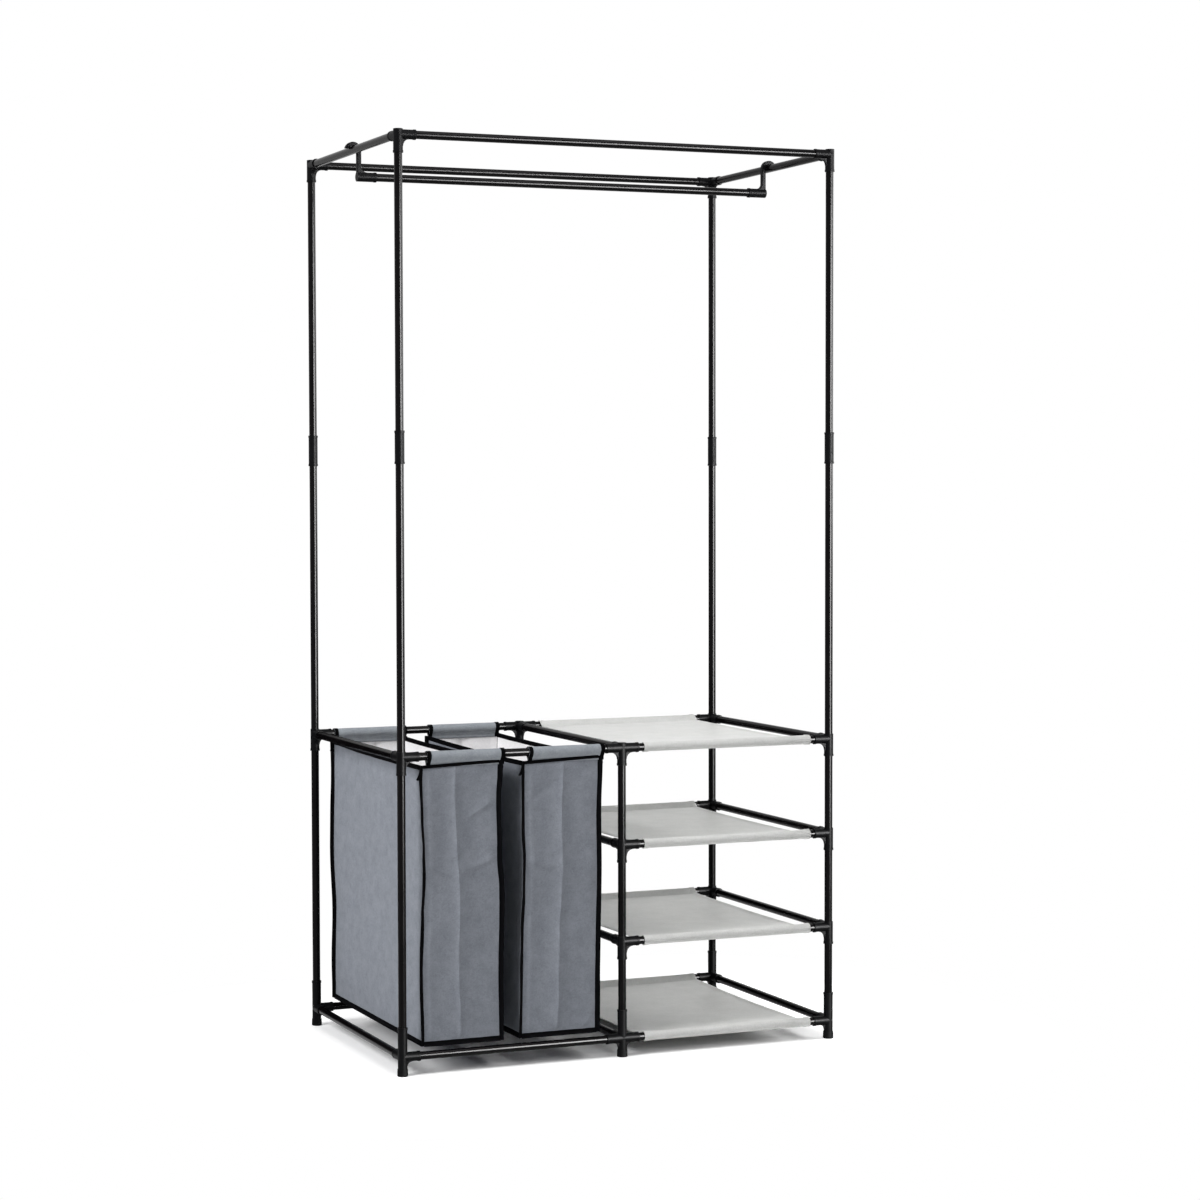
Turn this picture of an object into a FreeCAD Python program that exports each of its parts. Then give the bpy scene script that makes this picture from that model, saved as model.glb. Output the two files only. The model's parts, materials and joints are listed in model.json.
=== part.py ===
# Open frame wardrobe: steel tubes pushed into moulded connectors, fabric shelves at the right,
# two hanging laundry bags at the left and a hook-on clothes rail at the top.
# Frame: +X right, front at -Y, +Z up, origin on the floor in the middle of the footprint.
import FreeCAD, Part
import math
import os
import types
import Sketcher

Vector = FreeCAD.Vector
doc = FreeCAD.newDocument("open_frame_wardrobe")

# Driving sizes in millimetres: name, value, what it measures.
driving_sizes = [
    ("bay_width", 438, "corner post axis to divider post axis"),
    ("frame_depth", 500, "front post axis to back post axis"),
    ("base_level", 35, "floor to the lowest tube axis"),
    ("shelf_pitch", 182, "one shelf axis to the next"),
    ("post_half", 559.5, "top shelf axis to the coupler middle, and from there to the top axis"),
    ("tube_diameter", 15, "outside of every tube"),
    ("tube_wall", 0.8, "steel of every tube"),
    ("fit_gap", 0.1, "tube to its socket, on the radius"),
    ("stop_gap", 0.2, "tube end to the floor of its socket"),
    ("socket_wall", 1.2, "plastic round a tube"),
    ("socket_reach", 33, "post axis to the mouth of a socket"),
    ("socket_floor", 10.5, "post axis to the blind end of a side socket"),
    ("crown_cap", 1.1, "top of a side socket to the top of the connector"),
    ("crown_round", 0.8, "rounding of that top"),
    ("seat_drop", 10, "side socket axis down to the seat of the post tube above"),
    ("seat_web", 2.4, "web between the post tubes above and below"),
    ("rim_width", 4, "band round a socket mouth, along the tube"),
    ("rim_rise", 0.6, "how far that band stands proud"),
    ("gusset_reach", 12, "web in the inner corner, along each socket"),
    ("gusset_width", 6.5, "thickness of that web"),
    ("base_sleeve", 54, "base tube axis to the top of the tall sleeve"),
    ("base_gusset", 7.5, "inner corner web over a foot, along each socket"),
    ("coupler_length", 60, "straight coupler, end to end"),
    ("foot_diameter", 20.2, "foot on the floor"),
    ("foot_taper", 0.4, "how much slimmer the foot is at its top, on the radius"),
    ("foot_height", 13, "foot from the floor to its top edge"),
    ("foot_base", 4, "thickness under the stub"),
    ("foot_chamfer", 1, "bevel round the floor edge"),
    ("plug_height", 12, "floor to the top of the plug inside the stub"),
    ("rail_drop", 49, "top side tube axis down to the hanging rail axis"),
    ("hook_gap", 0.3, "hook to the side tube"),
    ("hook_band", 8, "plastic over the side tube and down the arm"),
    ("hook_width", 10, "hook along the side tube"),
    ("hook_lip", 3.5, "side tube axis up to the end of the outer lip"),
    ("hook_round", 1.4, "rounding of the hook's edges"),
    ("elbow_reach", 38, "arm's outer face to the mouth of the rail socket"),
    ("elbow_wall", 3, "closed end of the rail socket"),
    ("elbow_gusset", 10, "web between arm and rail socket"),
    ("cloth_gap", 0.3, "fabric sleeve to its tube"),
    ("shelf_cloth", 1, "thickness of a shelf cover"),
    ("shelf_margin", 44, "post axis to the edge of a shelf cover"),
    ("bag_cloth", 1.2, "thickness of a bag panel"),
    ("bag_margin_left", 1, "mouth of the left post's socket to the left bag"),
    ("bag_margin_right", 9, "mouth of the divider's socket to the right bag"),
    ("bag_spacing", 38, "one bag to the other"),
    ("bag_clearance", 17, "base tube axis to the bottom of a bag"),
    ("bag_hang", 13, "bag rail axis to the top of a bag"),
    ("binding", 6, "binding tape along the bag's edges, across"),
    ("sleeve_inset", 5, "side of a bag to the end of its sleeve"),
    ("sleeve_shift", 9, "front sleeves, pushed to the right of the bag's middle"),
    ("overrun", 5, "how far a cut runs past the piece"),
]
sheet = doc.addObject("Spreadsheet::Sheet", "sizes")
for row, (name, millimetres, meaning) in enumerate(driving_sizes, start=1):
    sheet.set(f"A{row}", meaning)
    sheet.set(f"B{row}", str(millimetres))
    sheet.setAlias(f"B{row}", name)
doc.recompute()


class Measure:
    # A length that carries its value and the sheet formula that gives it.
    def __init__(self, value, formula):
        self.value = value
        self.formula = formula

    def __add__(self, other):
        other = measure(other)
        return Measure(self.value + other.value, f"({self.formula} + {other.formula})")

    def __sub__(self, other):
        other = measure(other)
        return Measure(self.value - other.value, f"({self.formula} - {other.formula})")

    def __mul__(self, count):
        return Measure(self.value * count, f"({self.formula} * {count})")

    def __truediv__(self, count):
        return Measure(self.value / count, f"({self.formula} / {count})")

    def __neg__(self):
        return Measure(-self.value, f"(-{self.formula})")


def measure(length):
    return length if isinstance(length, Measure) else Measure(length, str(length))


def third_side(longest, other):
    # The remaining side of a right-angled triangle.
    value = math.sqrt(longest.value**2 - other.value**2)
    return Measure(value, f"sqrt({longest.formula}^2 - {other.formula}^2)")


size = types.SimpleNamespace(
    **{name: Measure(float(sheet.get(name)), f"sizes.{name}") for name, _, _ in driving_sizes}
)

# Places and sizes that follow from the driving ones.
left, divider, right = -size.bay_width, 0, size.bay_width
front, back = -size.frame_depth / 2, size.frame_depth / 2
shelf_levels = {
    "base": size.base_level,
    "lower": size.base_level + size.shelf_pitch,
    "upper": size.base_level + size.shelf_pitch * 2,
    "top": size.base_level + size.shelf_pitch * 3,
}
mid_level = shelf_levels["top"]
coupler_level = mid_level + size.post_half
top_level = coupler_level + size.post_half
rail_level = top_level - size.rail_drop
tube_radius = size.tube_diameter / 2
bore_radius = tube_radius + size.fit_gap
socket_radius = bore_radius + size.socket_wall
rim_radius = socket_radius + size.rim_rise
crown_rise = socket_radius + size.crown_cap
tube_start = size.socket_floor + size.stop_gap
post_foot = size.stop_gap - size.seat_drop
post_head = size.seat_drop + size.seat_web + size.stop_gap
coupler_end = size.seat_web / 2 + size.stop_gap
bags_left = left + size.socket_reach + size.bag_margin_left
bags_right = -size.socket_reach - size.bag_margin_right
bag_width = (bags_right - bags_left - size.bag_spacing) / 2
sleeve_length = bag_width - size.sleeve_inset * 2
upward, downward = Vector(0, 0, 1), Vector(0, 0, -1)
along_x, along_y, against_x = Vector(1, 0, 0), Vector(0, 1, 0), Vector(-1, 0, 0)
no_turn, quarter_turn, half_turn, last_quarter_turn = range(4)
nodes = []


def bind(thing, setting, length):
    thing.setExpression(setting, measure(length).formula)


def place(thing, x, y, z):
    for axis, length in zip("xyz", (x, y, z)):
        bind(thing, f"Placement.Base.{axis}", length)


def keep(node, label):
    # Names a sub-part and puts it on the list of those that are written.
    node.Label = label
    nodes.append(node)
    return node


def new_body(label):
    return doc.addObject("PartDesign::Body", label)


def set_distance(sketch, kind, part, point, length):
    # Ties a point of a sketch to its origin along one axis.
    if length.value == 0:
        axis = -2 if kind == "DistanceX" else -1
        sketch.addConstraint(Sketcher.Constraint("PointOnObject", part, point, axis))
        return
    if length.value < 0:
        length = -length
        rule = Sketcher.Constraint(kind, part, point, -1, 1, length.value)
    else:
        rule = Sketcher.Constraint(kind, -1, 1, part, point, length.value)
    index = sketch.addConstraint(rule)
    bind(sketch, f"Constraints[{index}]", length)


def set_radius(sketch, part, radius):
    index = sketch.addConstraint(Sketcher.Constraint("Radius", part, radius.value))
    bind(sketch, f"Constraints[{index}]", radius)


def set_point(sketch, part, point, x, y):
    set_distance(sketch, "DistanceX", part, point, measure(x))
    set_distance(sketch, "DistanceY", part, point, measure(y))


def outline(body, name, plane, corners, holes=()):
    # A closed outline on an origin plane of the body. A corner is its x and y; one that starts an
    # arc adds the arc's centre, its radius and whether it turns against the clock.
    sketch = body.newObject("Sketcher::SketchObject", name)
    support = next(item for item in body.Origin.OriginFeatures if item.Role == plane)
    sketch.AttachmentSupport = (support, [""])
    sketch.MapMode = "FlatFace"
    spots = [tuple(measure(length).value for length in corner[:2]) for corner in corners]
    ends = []
    for corner, start, end in zip(corners, spots, spots[1:] + spots[:1]):
        if len(corner) == 2:
            part = sketch.addGeometry(Part.LineSegment(Vector(*start), Vector(*end)))
            ends.append((part, 1, 2))
            continue
        middle = tuple(measure(length).value for length in corner[2])
        radius, against_clock = corner[3:]
        first, last = (start, end) if against_clock else (end, start)
        angles = [math.atan2(y - middle[1], x - middle[0]) for x, y in (first, last)]
        circle = Part.Circle(Vector(*middle), upward, radius.value)
        part = sketch.addGeometry(Part.ArcOfCircle(circle, *angles))
        set_radius(sketch, part, radius)
        ends.append((part, 1, 2) if against_clock else (part, 2, 1))
    for index, (part, _, end) in enumerate(ends):
        next_part, next_start, _ = ends[(index + 1) % len(ends)]
        sketch.addConstraint(Sketcher.Constraint("Coincident", part, end, next_part, next_start))
    for (part, start, _), corner in zip(ends, corners):
        set_point(sketch, part, start, *corner[:2])
    for x, y, radius in holes:
        circle = Part.Circle(Vector(measure(x).value, measure(y).value), upward, radius.value)
        part = sketch.addGeometry(circle)
        set_point(sketch, part, 3, x, y)
        set_radius(sketch, part, radius)
    return sketch


def pad(body, sketch, length, symmetric=False):
    feature = body.newObject("PartDesign::Pad", sketch.Name + "_pad")
    feature.Profile = sketch
    bind(feature, "Length", length)
    if symmetric:
        feature.SideType = "Symmetric"
    return feature


def cylinder(body, kind, radius, start, end, direction):
    # A round boss or bore of a body, from start to end along a line through its origin.
    feature = body.newObject(f"PartDesign::{kind}Cylinder", "round")
    feature.Placement = FreeCAD.Placement(Vector(), FreeCAD.Rotation(upward, direction))
    bind(feature, "Radius", radius)
    bind(feature, "Height", measure(end) - start)
    place(feature, *(measure(start) * share for share in direction))
    return feature


def copies(label, master, spots):
    # One node of like pieces. A spot is x, y, z and quarter turns about the upright axis.
    links = []
    for x, y, z, turns in spots:
        link = doc.addObject("App::Link", label + "_piece")
        link.LinkedObject = master
        link.Placement = FreeCAD.Placement(Vector(), FreeCAD.Rotation(upward, 90 * turns))
        place(link, x, y, z)
        links.append(link)
    if len(links) == 1:
        return keep(links[0], label)
    group = doc.addObject("Part::Compound", label)
    group.Links = links
    return keep(group, label)


def tube(label, direction, length):
    # A steel tube that starts at its own origin.
    body = new_body(label)
    body.Placement = FreeCAD.Placement(Vector(), FreeCAD.Rotation(upward, direction))
    ring = body.newObject("Sketcher::SketchObject", label + "_ring")
    support = next(item for item in body.Origin.OriginFeatures if item.Role == "XY_Plane")
    ring.AttachmentSupport = (support, [""])
    ring.MapMode = "FlatFace"
    for radius in (tube_radius, tube_radius - size.tube_wall):
        part = ring.addGeometry(Part.Circle(Vector(), upward, radius.value))
        ring.addConstraint(Sketcher.Constraint("Coincident", part, 3, -1, 1))
        set_radius(ring, part, radius)
    pad(body, ring, length)
    return body


def single_tube(label, direction, length, x, y, z):
    body = tube(label, direction, length)
    place(body, x, y, z)
    return keep(body, label)


def tube_row(label, direction, length, spots):
    # Like tubes as one node, each at its own spot.
    master = tube(label + "_master", direction, length)
    links = []
    for x, y, z in spots:
        link = doc.addObject("App::Link", label + "_piece")
        link.LinkedObject = master
        link.Placement = master.Placement
        place(link, x, y, z)
        links.append(link)
    group = doc.addObject("Part::Compound", label)
    group.Links = links
    return keep(group, label)


def gusset(body, arm, reach):
    # The web under a side socket: straight against both sockets, hollow towards the corner.
    plane = "YZ_Plane" if arm is along_y else "XZ_Plane"
    side = arm.x + arm.y
    far = socket_radius + reach
    corners = [
        (0, 0),
        (far * side, 0),
        (far * side, -socket_radius, (far * side, -far), reach, side > 0),
        (socket_radius * side, -far),
        (0, -far),
    ]
    pad(body, outline(body, "gusset", plane, corners), size.gusset_width, symmetric=True)


def connector(label, arms, rise, rise_open, fall, fall_open, reach):
    # A moulded connector about its post axis: side sockets along the arms, a trunk from fall up
    # to rise, webs in the inner corners, and bores that stop on webs so that no tube meets another.
    body = new_body(label)
    cylinder(body, "Additive", socket_radius, -fall, rise, upward)
    mouths = [(arm, size.socket_reach) for arm in arms]
    mouths += [(upward, rise)] if rise.value > crown_rise.value else []
    mouths += [(downward, fall)] if fall_open else []
    for arm in arms:
        cylinder(body, "Additive", socket_radius, 0, size.socket_reach, arm)
        gusset(body, arm, reach)
    for direction, mouth in mouths:
        cylinder(body, "Additive", rim_radius, mouth - size.rim_width, mouth, direction)
    for arm in arms:
        mouth = size.socket_reach + size.overrun
        cylinder(body, "Subtractive", bore_radius, size.socket_floor, mouth, arm)
    if rise_open:
        cylinder(body, "Subtractive", bore_radius, -size.seat_drop, rise + size.overrun, upward)
    seat = size.seat_drop + size.seat_web
    cylinder(body, "Subtractive", bore_radius, seat, fall + size.overrun, downward)
    if not rise_open:
        doc.recompute()
        round_crown(body, rise)
    return body


def round_crown(body, rise):
    # Rounds the closed top of a connector.
    feature = body.newObject("PartDesign::Fillet", "crown")
    base = feature.BaseFeature
    rim = [
        f"Edge{index}"
        for index, edge in enumerate(base.Shape.Edges, start=1)
        if abs(edge.BoundBox.ZMin - rise.value) < size.fit_gap.value
    ]
    feature.Base = (base, rim)
    bind(feature, "Radius", size.crown_round)


def coupler(label):
    # A straight sleeve with a web in the middle that both post tubes stop on.
    body = new_body(label)
    half = size.coupler_length / 2
    cylinder(body, "Additive", socket_radius, -half, half, upward)
    for direction in (upward, downward):
        cylinder(body, "Additive", rim_radius, half - size.rim_width, half, direction)
    for direction in (upward, downward):
        cylinder(body, "Subtractive", bore_radius, size.seat_web / 2, half + size.overrun, direction)
    return body


def foot(label):
    # A cup round the connector's stub with a plug inside it, bevelled at the floor.
    body = new_body(label)
    outer = size.foot_diameter / 2
    cup = socket_radius + size.fit_gap
    plug = bore_radius - size.fit_gap
    corners = [
        (0, 0),
        (outer - size.foot_chamfer, 0),
        (outer, size.foot_chamfer),
        (outer - size.foot_taper, size.foot_height),
        (cup, size.foot_height),
        (cup, size.foot_base),
        (plug, size.foot_base),
        (plug, size.plug_height),
        (0, size.plug_height),
    ]
    sketch = outline(body, label + "_half", "XZ_Plane", corners)
    feature = body.newObject("PartDesign::Revolution", label + "_turned")
    feature.Profile = sketch
    feature.ReferenceAxis = (sketch, ["V_Axis"])
    return body


def rail_hook(label):
    # The left hook about its side tube's axis: a band over the tube, an arm down its inner side
    # and an elbow with a blind socket for the hanging rail.
    body = new_body(label)
    inner = tube_radius + size.hook_gap
    outer = inner + size.hook_band
    web_end = outer + size.elbow_gusset
    web_top = socket_radius + size.elbow_gusset - size.rail_drop
    corners = [
        (-third_side(inner, size.hook_lip), size.hook_lip, (0, 0), inner, False),
        (inner, 0),
        (inner, -size.rail_drop),
        (web_end, -size.rail_drop),
        (web_end, socket_radius - size.rail_drop, (web_end, web_top), size.elbow_gusset, False),
        (outer, web_top),
        (outer, 0, (0, 0), outer, True),
        (-third_side(outer, size.hook_lip), size.hook_lip),
    ]
    pad(body, outline(body, label + "_side", "XZ_Plane", corners), size.hook_width, symmetric=True)
    doc.recompute()
    round_hook(body, web_top)
    mouth = inner + size.elbow_reach
    for kind, radius, start, end in (
        ("Additive", socket_radius, inner, mouth),
        ("Additive", rim_radius, mouth - size.rim_width, mouth),
        ("Subtractive", bore_radius, inner + size.elbow_wall, mouth + size.overrun),
    ):
        feature = cylinder(body, kind, radius, start, end, along_x)
        bind(feature, "Placement.Base.z", -size.rail_drop)
    return body


def round_hook(body, web_top):
    # Rounds the long edges of the band, the arm and the web, and leaves those inside the elbow.
    feature = body.newObject("PartDesign::Fillet", "hook_edges")
    base = feature.BaseFeature
    near = size.fit_gap.value
    long_edges = []
    for index, edge in enumerate(base.Shape.Edges, start=1):
        extent = edge.BoundBox
        if extent.YLength < near and extent.ZLength > near and extent.ZMax > web_top.value - near:
            long_edges.append(f"Edge{index}")
    feature.Base = (base, long_edges)
    bind(feature, "Radius", size.hook_round)


def shelf_cover(label, level):
    # One sheet over both shelf rails, sewn back on itself as a sleeve round each.
    body = new_body(label)
    inner = tube_radius + size.cloth_gap
    outer = inner + size.shelf_cloth
    seam = third_side(outer, inner)
    corners = [
        (front, outer, (front, 0), outer, True),
        (front + seam, inner),
        (back - seam, inner, (back, 0), outer, True),
        (back, outer),
    ]
    sketch = outline(
        body, label + "_section", "YZ_Plane", corners, holes=[(front, 0, inner), (back, 0, inner)]
    )
    pad(body, sketch, size.bay_width - size.shelf_margin * 2)
    place(body, size.shelf_margin, 0, level)
    return keep(body, label)


def block(name, x, y, z, width, depth, height):
    box = doc.addObject("Part::Box", name)
    for setting, length in (("Length", width), ("Width", depth), ("Height", height)):
        bind(box, setting, length)
    place(box, x, y, z)
    return box


def bag_sleeve(name, x, y):
    # A loop of fabric round a bag rail, closed by a double tail that the bag hangs from.
    body = new_body(name)
    inner = tube_radius + size.cloth_gap
    outer = inner + size.bag_cloth
    tail = size.bag_cloth
    seam = third_side(outer, tail)
    corners = [
        (tail, -size.bag_hang),
        (tail, -seam, (0, 0), outer, True),
        (-tail, -seam),
        (-tail, -size.bag_hang),
    ]
    sketch = outline(body, name + "_section", "YZ_Plane", corners, holes=[(0, 0, inner)])
    pad(body, sketch, sleeve_length)
    place(body, x, y, mid_level)
    return body


def laundry_bag(label, x):
    # An open bag: five flat panels inside a cage of binding tape, hung from two sleeves.
    tape = size.binding
    cloth = size.bag_cloth
    inset = (tape - cloth) / 2
    y = front - tape / 2
    z = size.base_level + size.bag_clearance
    width = bag_width
    depth = size.frame_depth + tape
    height = mid_level - size.bag_hang - z
    inner_width, inner_depth, inner_height = (length - tape * 2 for length in (width, depth, height))
    past = size.overrun
    cut_width, cut_depth, cut_height = (length + past * 2 for length in (width, depth, height))
    outside = block(label + "_outside", x, y, z, width, depth, height)
    windows = [
        block(label + "_x_window", x - past, y + tape, z + tape, cut_width, inner_depth, inner_height),
        block(label + "_y_window", x + tape, y - past, z + tape, inner_width, cut_depth, inner_height),
        block(label + "_z_window", x + tape, y + tape, z - past, inner_width, inner_depth, cut_height),
    ]
    opened = doc.addObject("Part::MultiFuse", label + "_windows")
    opened.Shapes = windows
    cage = doc.addObject("Part::Cut", label + "_binding")
    cage.Base = outside
    cage.Tool = opened
    keep(cage, label + "_binding")
    far_x = x + width - tape + inset
    far_y = y + depth - tape + inset
    panels = [
        block(label + "_front", x + tape, y + inset, z + tape, inner_width, cloth, inner_height),
        block(label + "_back", x + tape, far_y, z + tape, inner_width, cloth, inner_height),
        block(label + "_left", x + inset, y + tape, z + tape, cloth, inner_depth, inner_height),
        block(label + "_right", far_x, y + tape, z + tape, cloth, inner_depth, inner_height),
        block(label + "_floor", x + tape, y + tape, z + inset, inner_width, inner_depth, cloth),
    ]
    sleeve_x = x + size.sleeve_inset
    sleeves = [
        bag_sleeve(label + "_front_sleeve", sleeve_x + size.sleeve_shift, front),
        bag_sleeve(label + "_back_sleeve", sleeve_x, back),
    ]
    bag = doc.addObject("Part::Compound", label)
    bag.Links = panels + sleeves
    keep(bag, label)


corner_spots = {
    "front_left": (left, front, no_turn),
    "front_right": (right, front, quarter_turn),
    "back_right": (right, back, half_turn),
    "back_left": (left, back, last_quarter_turn),
}
divider_spots = {"front": (divider, front, no_turn), "back": (divider, back, half_turn)}
depth_run = size.frame_depth - tube_start * 2
bay_run = size.bay_width - tube_start * 2
top_run = size.bay_width * 2 - tube_start * 2

# Top of the frame
single_tube("top_front_tube", along_x, top_run, left + tube_start, front, top_level)
single_tube("top_back_tube", along_x, top_run, left + tube_start, back, top_level)
single_tube("top_left_tube", along_y, depth_run, left, front + tube_start, top_level)
single_tube("top_right_tube", along_y, depth_run, right, front + tube_start, top_level)
top_corner = connector(
    "top_corner", (along_x, along_y), crown_rise, False, size.socket_reach, True, size.gusset_reach
)
for corner, (x, y, turns) in corner_spots.items():
    copies(f"top_corner_{corner}", top_corner, [(x, y, top_level, turns)])

# Tall corner posts and their couplers
upper_run = size.post_half - coupler_end - post_head
middle_run = size.post_half - coupler_end - post_foot
for corner, (x, y, turns) in corner_spots.items():
    single_tube(f"post_upper_{corner}", upward, upper_run, x, y, coupler_level + coupler_end)
    single_tube(f"post_middle_{corner}", upward, middle_run, x, y, mid_level + post_foot)
copies(
    "post_couplers",
    coupler("straight_coupler"),
    [(x, y, coupler_level, turns) for x, y, turns in corner_spots.values()],
)

# Bag and shelf level, and the posts under it
side_joint = connector(
    "side_joint", (along_x, along_y), crown_rise, True, size.socket_reach, True, size.gusset_reach
)
for corner, (x, y, turns) in corner_spots.items():
    copies(f"mid_corner_{corner}", side_joint, [(x, y, mid_level, turns)])
mid_tee = connector(
    "mid_tee",
    (along_x, along_y, against_x),
    crown_rise,
    False,
    size.socket_reach,
    True,
    size.gusset_reach,
)
copies("mid_tees", mid_tee, [(x, y, mid_level, turns) for x, y, turns in divider_spots.values()])
tall_run = size.shelf_pitch * 3 - post_foot - post_head
single_tube("lower_post_front_left", upward, tall_run, left, front, size.base_level + post_foot)
single_tube("lower_post_back_left", upward, tall_run, left, back, size.base_level + post_foot)
short_run = size.shelf_pitch - post_foot - post_head
post_levels = [shelf_levels[name] + post_foot for name in ("base", "lower", "upper")]
for label, x, y in (
    ("lower_post_front_right", right, front),
    ("lower_post_back_right", right, back),
    ("divider_post_front", divider, front),
    ("divider_post_back", divider, back),
):
    tube_row(label, upward, short_run, [(x, y, z) for z in post_levels])

# Shelf connectors between the divider and the right posts, and the base
shelf_corners = [
    (right, front, quarter_turn),
    (right, back, half_turn),
    (divider, front, no_turn),
    (divider, back, last_quarter_turn),
]
for name in ("lower", "upper"):
    spots = [(x, y, shelf_levels[name], turns) for x, y, turns in shelf_corners]
    copies(f"shelf_connectors_{name}", side_joint, spots)
stub = size.base_level - size.foot_base
base_corner = connector(
    "base_corner", (along_x, along_y), size.base_sleeve, True, stub, False, size.base_gusset
)
base_tee = connector(
    "base_tee", (along_x, along_y, against_x), size.base_sleeve, True, stub, False, size.base_gusset
)
for corner, (x, y, turns) in corner_spots.items():
    copies(f"base_corner_{corner}", base_corner, [(x, y, size.base_level, turns)])
copies("base_tees", base_tee, [(x, y, size.base_level, turns) for x, y, turns in divider_spots.values()])
foot_spots = list(corner_spots.values()) + list(divider_spots.values())
copies("foot_plugs", foot("foot"), [(x, y, 0, turns) for x, y, turns in foot_spots])

# Tubes of the bag bay
for name, level in (("bag_rails", mid_level), ("base_bay_rails", size.base_level)):
    tube_row(name, along_x, bay_run, [(left + tube_start, y, level) for y in (front, back)])
single_tube("bag_bay_side_tube", along_y, depth_run, left, front + tube_start, mid_level)
single_tube("base_bay_side_tube", along_y, depth_run, left, front + tube_start, size.base_level)

# Shelves: rails front and back, side tubes at both ends, and a cover
for name, level in shelf_levels.items():
    rail_spots = [(tube_start, y, level) for y in (front, back)]
    side_spots = [(x, front + tube_start, level) for x in (divider, right)]
    tube_row(f"shelf_rails_{name}", along_x, bay_run, rail_spots)
    tube_row(f"shelf_side_tubes_{name}", along_y, depth_run, side_spots)
    shelf_cover(f"shelf_cover_{name}", level)

# Laundry bags
laundry_bag("laundry_bag_left", bags_left)
laundry_bag("laundry_bag_right", bags_right - bag_width)

# Hanging rail between its two hooks
hook = rail_hook("rail_hook")
copies("rail_hook_left", hook, [(left, 0, top_level, no_turn)])
copies("rail_hook_right", hook, [(right, 0, top_level, half_turn)])
rail_start = tube_radius + size.hook_gap + size.elbow_wall + size.stop_gap
rail_run = size.bay_width * 2 - rail_start * 2
single_tube("hanging_rail", along_x, rail_run, left + rail_start, 0, rail_level)

doc.recompute()
for item in doc.Objects:
    if "Invalid" in item.State or "Error" in item.State:
        raise RuntimeError(f"{item.Label} failed: {item.State}")
shapes = {node.Label: Part.getShape(node) for node in nodes}
for label, shape in shapes.items():
    if shape.isNull() or not shape.isValid() or not shape.Solids:
        raise RuntimeError(f"{label} has no valid solid")
os.makedirs("parts", exist_ok=True)
for label, shape in shapes.items():
    shape.exportStep(f"parts/{label}.step")
solids = sum(len(shape.Solids) for shape in shapes.values())
print(f"{len(shapes)} nodes, {solids} solids")
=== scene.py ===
# Open frame wardrobe: finishes for the tubes and mouldings, sewn shelf covers and two hanging laundry bags.
import bpy
import json
import math
from mathutils import Matrix, Vector, noise


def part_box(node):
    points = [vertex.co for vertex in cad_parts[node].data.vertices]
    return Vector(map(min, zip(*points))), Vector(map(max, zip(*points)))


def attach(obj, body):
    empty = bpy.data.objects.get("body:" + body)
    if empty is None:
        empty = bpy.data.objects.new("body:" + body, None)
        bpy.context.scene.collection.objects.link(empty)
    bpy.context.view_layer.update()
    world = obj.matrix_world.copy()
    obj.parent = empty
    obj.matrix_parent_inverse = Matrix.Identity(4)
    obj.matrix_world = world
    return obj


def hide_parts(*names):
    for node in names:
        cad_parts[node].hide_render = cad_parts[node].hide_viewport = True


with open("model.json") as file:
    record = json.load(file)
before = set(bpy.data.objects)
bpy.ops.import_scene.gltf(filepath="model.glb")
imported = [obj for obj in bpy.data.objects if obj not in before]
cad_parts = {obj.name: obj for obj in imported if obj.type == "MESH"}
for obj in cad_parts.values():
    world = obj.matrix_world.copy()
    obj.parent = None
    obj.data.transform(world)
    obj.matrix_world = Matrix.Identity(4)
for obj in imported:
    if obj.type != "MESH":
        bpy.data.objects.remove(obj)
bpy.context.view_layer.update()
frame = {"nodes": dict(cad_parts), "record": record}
scene = bpy.context.scene
mm = 0.001  # everything is in metres
left, right = Vector((-1, 0, 0)), Vector((1, 0, 0))
forward, backward = Vector((0, -1, 0)), Vector((0, 1, 0))
up, down = Vector((0, 0, 1)), Vector((0, 0, -1))
print("frame loaded:", len(frame["nodes"]), "nodes")


# Small helpers for materials

def linear(hexText):
    # sRGB hex to the linear colour that shaders take
    shares = [int(hexText[i:i + 2], 16) / 255 for i in (1, 3, 5)]
    return [s / 12.92 if s <= 0.04045 else ((s + 0.055) / 1.055) ** 2.4 for s in shares] + [1]


def startMaterial(name):
    material = bpy.data.materials.new(name)
    material.use_nodes = True
    return material, material.node_tree, material.node_tree.nodes["Principled BSDF"]


def setValues(node, values):
    for socket, value in values.items():
        node.inputs[socket].default_value = value


def setLinks(tree, node, links):
    for socket, source in links.items():
        tree.links.new(source, node.inputs[socket])


def addNode(tree, kind, values=None, links=None, **settings):
    node = tree.nodes.new("ShaderNode" + kind)
    for name, value in settings.items():
        setattr(node, name, value)
    setValues(node, values or {})
    setLinks(tree, node, links or {})
    return node


# Materials

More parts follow.
